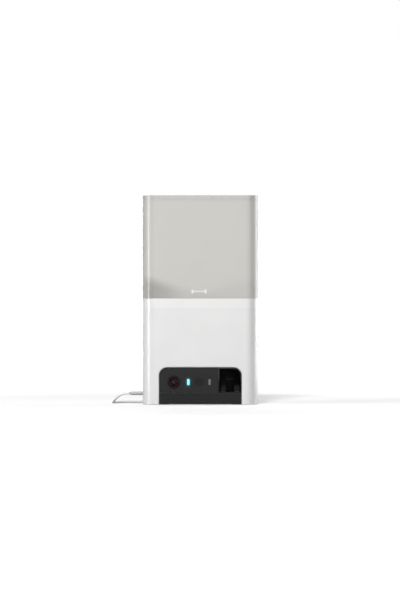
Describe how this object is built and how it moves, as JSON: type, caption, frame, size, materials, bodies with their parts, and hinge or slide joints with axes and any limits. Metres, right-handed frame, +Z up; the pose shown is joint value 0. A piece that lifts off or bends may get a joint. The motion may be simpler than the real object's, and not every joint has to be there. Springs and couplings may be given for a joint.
{
  "type": "automatic treat feeder with camera",
  "caption": "Upright automatic pet treat feeder with a lift-off translucent hopper and lid, front camera panel, treat chute, geared dispensing drum and coiled power cable.",
  "frame": {"origin": "centre of the footprint, on the surface that the feeder's feet stand on", "axes": "+Z up, -Y towards the front with the camera and the chute, +X to the right seen from the front"},
  "size_m": [0.1858, 0.1258, 0.264],
  "materials": {
    "housing_plastic": "fine satin texture",
    "collar_plastic": "smooth satin gloss",
    "hopper_plastic": "translucent warm grey, satin outside",
    "lid_plastic": "translucent warm grey, satin outside",
    "funnel_plastic": "smooth moulded plastic",
    "cartridge_plastic": "moulded, slotted underneath",
    "seal_rubber": "soft silicone",
    "foot_rubber": "matte",
    "panel_plastic": "dark satin",
    "grille_plastic": "dark, fine texture",
    "chute_plastic": "black satin",
    "pad_plastic": "black matte",
    "transfer_plastic": "smooth moulded plastic",
    "bezel_plastic": "polished black",
    "lens_glass": "coated glass",
    "barrel_black": "anti-glare black",
    "light_cyan": "diffuse light pipe",
    "light_grey": "diffuse light pipe",
    "sensor_plastic": "infrared pass black",
    "mesh_black": "fine woven mesh, bonded flat",
    "speaker_black": "moulded frame",
    "circuit_board": "solder mask",
    "component_black": "moulded packages",
    "screw_steel": "zinc plated",
    "contact_steel": "nickel plated",
    "shaft_steel": "ground",
    "motor_steel": "plated can",
    "bush_brass": "sintered",
    "gear_plastic": "acetal",
    "drum_plastic": "moulded grey",
    "kicker_plastic": "moulded black",
    "button_plastic": "satin",
    "cable_jacket": "soft smooth jacket",
    "plug_plastic": "moulded overmould",
    "insert_white": "moulded insulator",
    "tie_fabric": "woven hook-and-loop strap"
  },
  "bodies": {
    "base": {"base_housing": "housing_plastic", "hopper_collar": "collar_plastic", "throat_gasket": "seal_rubber", "bottom_cover": "housing_plastic", "rubber_feet": "foot_rubber", "bottom_screws": "screw_steel", "front_panel": "panel_plastic", "speaker_grille": "grille_plastic", "acoustic_mesh": "mesh_black", "camera_bezel": "bezel_plastic", "camera_lens": "lens_glass", "camera_barrel": "barrel_black", "camera_board": "circuit_board", "board_screws": "screw_steel", "status_light_pipe": "light_cyan", "second_light_pipe": "light_grey", "sensor_window": "sensor_plastic", "speaker_frame": "speaker_black", "speaker_cone": "speaker_black", "main_board": "circuit_board", "main_board_chips": "component_black", "board_standoff_screws": "screw_steel", "usb_c_socket": "contact_steel", "reset_switch": "component_black", "drum_case": "transfer_plastic", "mechanism_plate": "transfer_plastic", "drum_bushes": "bush_brass", "mechanism_screws": "screw_steel", "motor_can": "motor_steel", "gearbox": "gear_plastic", "transfer_chute": "transfer_plastic", "chute_liner": "chute_plastic", "ramp_pads": "pad_plastic", "kicker_motor": "component_black", "kicker_bracket": "transfer_plastic", "usb_c_plug": "plug_plastic", "usb_c_shell": "contact_steel", "usb_cable": "cable_jacket", "cable_coil": "cable_jacket", "cable_tie": "tie_fabric", "cable_tail": "cable_jacket", "usb_a_plug": "plug_plastic", "usb_a_shell": "contact_steel", "usb_a_insert": "insert_white"},
    "hopper": {"hopper_shell": "hopper_plastic", "hopper_funnel": "funnel_plastic", "drying_cartridge": "cartridge_plastic"},
    "lid": {"lid": "lid_plastic", "lid_seal": "seal_rubber"},
    "drum": {"dispensing_drum": "drum_plastic", "drum_shaft": "shaft_steel", "drum_gear": "gear_plastic"},
    "motor_shaft": {"motor_shaft": "shaft_steel", "drive_pinion": "gear_plastic"},
    "kicker": {"kicker_shaft": "shaft_steel", "kicker_paddle": "kicker_plastic"},
    "reset_button": {"reset_button": "button_plastic"}
  },
  "joints": [
    {"name": "hopper_lift", "type": "slide", "parent": "base", "child": "hopper", "axis": [0, 0, 1], "range_m": [0, 0.06]},
    {"name": "lid_lift", "type": "slide", "parent": "hopper", "child": "lid", "axis": [0, 0, 1], "range_m": [0, 0.09]},
    {"name": "drum_spin", "type": "hinge", "parent": "base", "child": "drum", "pos_m": [0, 0, 0.092], "axis": [0, 1, 0], "continuous": true},
    {"name": "pinion_spin", "type": "hinge", "parent": "base", "child": "motor_shaft", "pos_m": [-0.0345, 0, 0.092], "axis": [0, 1, 0], "continuous": true},
    {"name": "kicker_swing", "type": "hinge", "parent": "base", "child": "kicker", "pos_m": [0.037, -0.008, 0.0105], "axis": [1, 0, 0], "range_deg": [0, 110]},
    {"name": "reset_press", "type": "slide", "parent": "base", "child": "reset_button", "axis": [0, -1, 0], "range_m": [0, 0.0008], "stiffness_N_per_m": 300, "springref_m": -0.0005}
  ],
  "couplings": [
    {"joint": "pinion_spin", "follows": "drum_spin", "ratio": -3.6}
  ]
}
